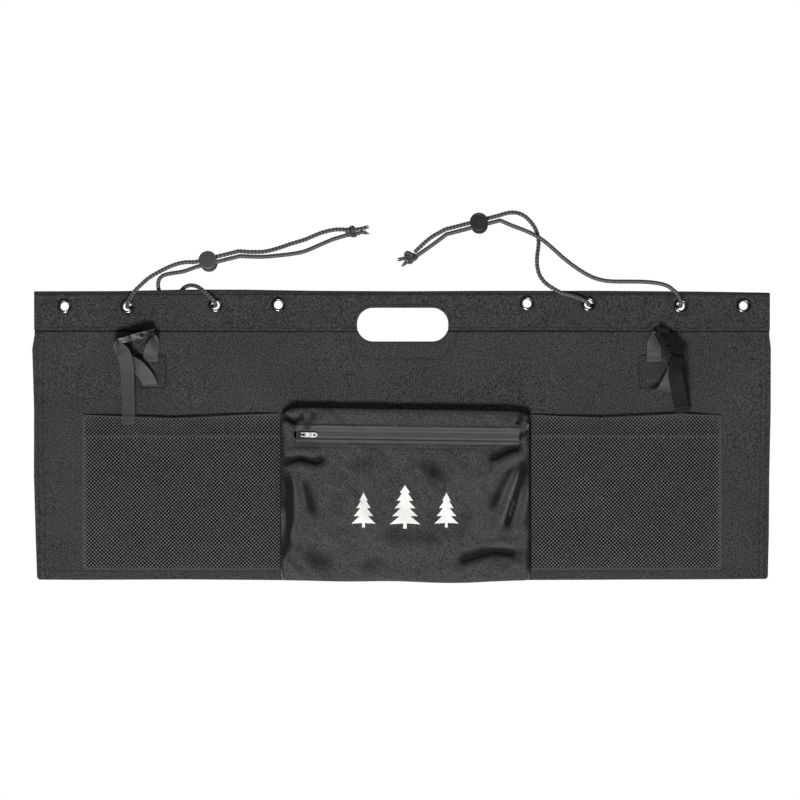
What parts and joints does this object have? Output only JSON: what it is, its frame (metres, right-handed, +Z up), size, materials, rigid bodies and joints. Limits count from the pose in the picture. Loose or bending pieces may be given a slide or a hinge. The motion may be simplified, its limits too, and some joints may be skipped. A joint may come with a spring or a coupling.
{
  "type": "hanging fabric organiser blind",
  "caption": "Felt window blind with hand slot, eyelets, drawcords with cord locks, buckled strap loops, mesh pockets and a zipped bellows pocket.",
  "frame": {"origin": "middle of the top edge, on the back face of the header", "axes": "+X along the sheet to the right seen from the front, +Y out of the back, +Z up; the front faces -Y"},
  "size_m": [1.003, 0.0751, 0.5017],
  "materials": {
    "felt": "matte",
    "felt_header": "matte",
    "pocket_cloth": "matte",
    "pocket_mesh": "matte",
    "mesh_hem": "matte",
    "zip_tape": "matte",
    "zip_coil": "satin",
    "zip_slider_black": "satin",
    "zip_pull_silver": "satin",
    "eyelet_black_nickel": "polished",
    "cord_braid": "matte",
    "cord_lock_plastic": "matte",
    "spring_steel": "satin",
    "buckle_plastic": "satin",
    "webbing": "matte",
    "webbing_dark": "matte"
  },
  "bodies": {
    "blind": {"felt_panel": "felt", "header_band": "felt_header", "hand_slot_facing": "felt", "centre_pocket_gusset": "pocket_cloth", "centre_pocket_top": "pocket_cloth", "centre_pocket_front": "pocket_cloth", "zip_tape_upper": "zip_tape", "zip_tape_lower": "zip_tape", "zip_coil_upper": "zip_coil", "zip_coil_lower": "zip_coil", "zip_end_stop": "zip_slider_black", "eyelet_1": "eyelet_black_nickel", "eyelet_washer_1": "eyelet_black_nickel", "eyelet_2": "eyelet_black_nickel", "eyelet_washer_2": "eyelet_black_nickel", "eyelet_3": "eyelet_black_nickel", "eyelet_washer_3": "eyelet_black_nickel", "eyelet_4": "eyelet_black_nickel", "eyelet_washer_4": "eyelet_black_nickel", "eyelet_5": "eyelet_black_nickel", "eyelet_washer_5": "eyelet_black_nickel", "eyelet_6": "eyelet_black_nickel", "eyelet_washer_6": "eyelet_black_nickel", "eyelet_7": "eyelet_black_nickel", "eyelet_washer_7": "eyelet_black_nickel", "eyelet_8": "eyelet_black_nickel", "eyelet_washer_8": "eyelet_black_nickel", "left_mesh_pocket": "pocket_mesh", "left_mesh_hem": "mesh_hem", "left_cord": "cord_braid", "left_strap_patch": "felt", "left_strap_webbing": "webbing", "right_mesh_pocket": "pocket_mesh", "right_mesh_hem": "mesh_hem", "right_cord": "cord_braid", "right_strap_patch": "felt", "right_strap_webbing": "webbing"},
    "zip_slider": {"zip_slider": "zip_slider_black"},
    "zip_pull": {"zip_pull": "zip_pull_silver"},
    "left_cord_loop": {"left_cord_loop": "cord_braid"},
    "left_cord_lock": {"left_cord_lock_body": "cord_lock_plastic", "left_cord_lock_spring": "spring_steel"},
    "left_cord_lock_plunger": {"left_cord_lock_plunger": "cord_lock_plastic"},
    "left_strap_loop": {"left_buckle_female": "buckle_plastic", "left_buckle_male": "buckle_plastic", "left_strap_tail": "webbing"},
    "left_buckle_prong_a": {"left_buckle_prong_a": "buckle_plastic"},
    "left_buckle_prong_b": {"left_buckle_prong_b": "buckle_plastic"},
    "right_cord_loop": {"right_cord_loop": "cord_braid"},
    "right_cord_lock": {"right_cord_lock_body": "cord_lock_plastic", "right_cord_lock_spring": "spring_steel"},
    "right_cord_lock_plunger": {"right_cord_lock_plunger": "cord_lock_plastic"},
    "right_strap_loop": {"right_buckle_female": "buckle_plastic", "right_buckle_male": "buckle_plastic", "right_strap_tail": "webbing_dark"},
    "right_buckle_prong_a": {"right_buckle_prong_a": "buckle_plastic"},
    "right_buckle_prong_b": {"right_buckle_prong_b": "buckle_plastic"}
  },
  "joints": [
    {"name": "zip_slide", "type": "slide", "parent": "blind", "child": "zip_slider", "axis": [0.9999, 0, -0.014], "range_m": [0, 0.285]},
    {"name": "zip_pull_flip", "type": "hinge", "parent": "zip_slider", "child": "zip_pull", "pos_m": [-0.13639, -0.036, -0.19428], "axis": [-0.014, 0, -0.9999], "range_deg": [0, 175]},
    {"name": "left_cord_swing", "type": "hinge", "parent": "blind", "child": "left_cord_loop", "pos_m": [-0.345, -0.0045, 0.003], "axis": [1, 0, 0], "range_deg": [-60, 60], "deforming": ["left_cord"]},
    {"name": "left_cord_lock_slide", "type": "slide", "parent": "left_cord_loop", "child": "left_cord_lock", "axis": [0.9703, 0, 0.2419], "range_m": [-0.005, 0.03]},
    {"name": "left_cord_lock_press", "type": "slide", "parent": "left_cord_lock", "child": "left_cord_lock_plunger", "axis": [0.042, 0.9848, -0.1685], "range_m": [0, 0.0045], "stiffness_N_per_m": 500, "springref_m": -0.004, "deforming": ["left_cord_lock_spring"]},
    {"name": "left_strap_swing", "type": "hinge", "parent": "blind", "child": "left_strap_loop", "pos_m": [-0.329, -0.012, -0.075], "axis": [0, 0, 1], "range_deg": [0, 75], "deforming": ["left_strap_webbing"]},
    {"name": "left_prong_a_squeeze", "type": "hinge", "parent": "left_strap_loop", "child": "left_buckle_prong_a", "pos_m": [-0.36855, -0.03485, -0.064], "axis": [-0.2533, -0.1133, 0.9607], "range_deg": [0, 12], "stiffness_Nm_per_rad": 0.2},
    {"name": "left_prong_b_squeeze", "type": "hinge", "parent": "left_strap_loop", "child": "left_buckle_prong_b", "pos_m": [-0.36904, -0.01815, -0.06216], "axis": [-0.2533, -0.1133, 0.9607], "range_deg": [-12, 0], "stiffness_Nm_per_rad": 0.2},
    {"name": "right_cord_swing", "type": "hinge", "parent": "blind", "child": "right_cord_loop", "pos_m": [0.29, -0.012, 0.001], "axis": [1, 0, 0], "range_deg": [-60, 60], "deforming": ["right_cord"]},
    {"name": "right_cord_lock_slide", "type": "slide", "parent": "right_cord_loop", "child": "right_cord_lock", "axis": [0.9681, 0, 0.2504], "range_m": [-0.033, 0.015]},
    {"name": "right_cord_lock_press", "type": "slide", "parent": "right_cord_lock", "child": "right_cord_lock_plunger", "axis": [0.0435, 0.9848, -0.1681], "range_m": [0, 0.0045], "stiffness_N_per_m": 500, "springref_m": -0.004, "deforming": ["right_cord_lock_spring"]},
    {"name": "right_strap_swing", "type": "hinge", "parent": "blind", "child": "right_strap_loop", "pos_m": [0.33, -0.012, -0.075], "axis": [0, 0, -1], "range_deg": [0, 75], "deforming": ["right_strap_webbing"]},
    {"name": "right_prong_a_squeeze", "type": "hinge", "parent": "right_strap_loop", "child": "right_buckle_prong_a", "pos_m": [0.37015, -0.03551, -0.07935], "axis": [0.5291, -0.5173, 0.6726], "range_deg": [0, 12], "stiffness_Nm_per_rad": 0.2},
    {"name": "right_prong_b_squeeze", "type": "hinge", "parent": "right_strap_loop", "child": "right_buckle_prong_b", "pos_m": [0.35712, -0.04586, -0.07706], "axis": [0.5291, -0.5173, 0.6726], "range_deg": [-12, 0], "stiffness_Nm_per_rad": 0.2}
  ],
  "couplings": [
    {"joint": "left_prong_b_squeeze", "follows": "left_prong_a_squeeze", "ratio": -1},
    {"joint": "right_prong_b_squeeze", "follows": "right_prong_a_squeeze", "ratio": -1}
  ]
}
